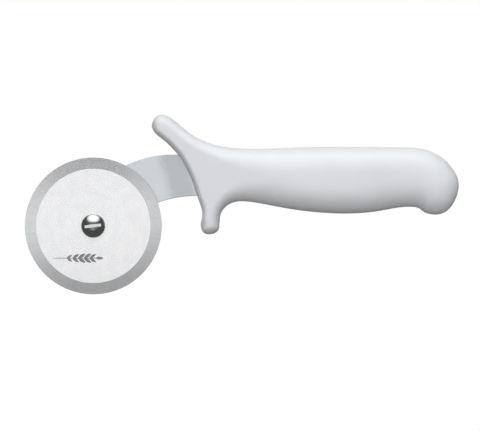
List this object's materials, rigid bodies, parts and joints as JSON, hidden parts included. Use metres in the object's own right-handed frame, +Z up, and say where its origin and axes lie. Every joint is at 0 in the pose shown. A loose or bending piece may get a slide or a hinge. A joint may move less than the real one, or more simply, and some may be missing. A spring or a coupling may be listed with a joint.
{
  "type": "pastry cutter wheel",
  "caption": "Hand pastry and pizza cutter: bevelled steel wheel turning on a slotted axle, cranked steel arm and moulded handle with thumb rest and finger guard.",
  "frame": {"origin": "middle of the overall length and of the thickness, on the surface that the wheel's lowest point touches", "axes": "+Z up as the tool is used, +X from the wheel towards the handle's end, -Y out of the wheel's front face"},
  "size_m": [0.2218, 0.0236, 0.0926],
  "materials": {
    "handle_plastic": "white moulded polypropylene, fine matte texture with a soft sheen",
    "arm_steel": "satin stainless, grain along the arm",
    "blade_steel": "pale satin face with a turned grain, ground bevel",
    "bush_plastic": "plain turned acetal",
    "axle_steel": "polished stainless",
    "washer_steel": "plain stamped stainless"
  },
  "bodies": {
    "root": {"handle": "handle_plastic", "arm": "arm_steel", "axle_screw": "axle_steel", "axle_post": "axle_steel", "head_washer": "washer_steel", "spacer_washer": "washer_steel", "lock_washer": "washer_steel"},
    "wheel": {"wheel_blade": "blade_steel", "wheel_bush": "bush_plastic"}
  },
  "joints": [
    {"name": "wheel_spin", "type": "hinge", "parent": "root", "child": "wheel", "pos_m": [-0.0759, 0, 0.035], "axis": [0, 1, 0], "continuous": true}
  ]
}
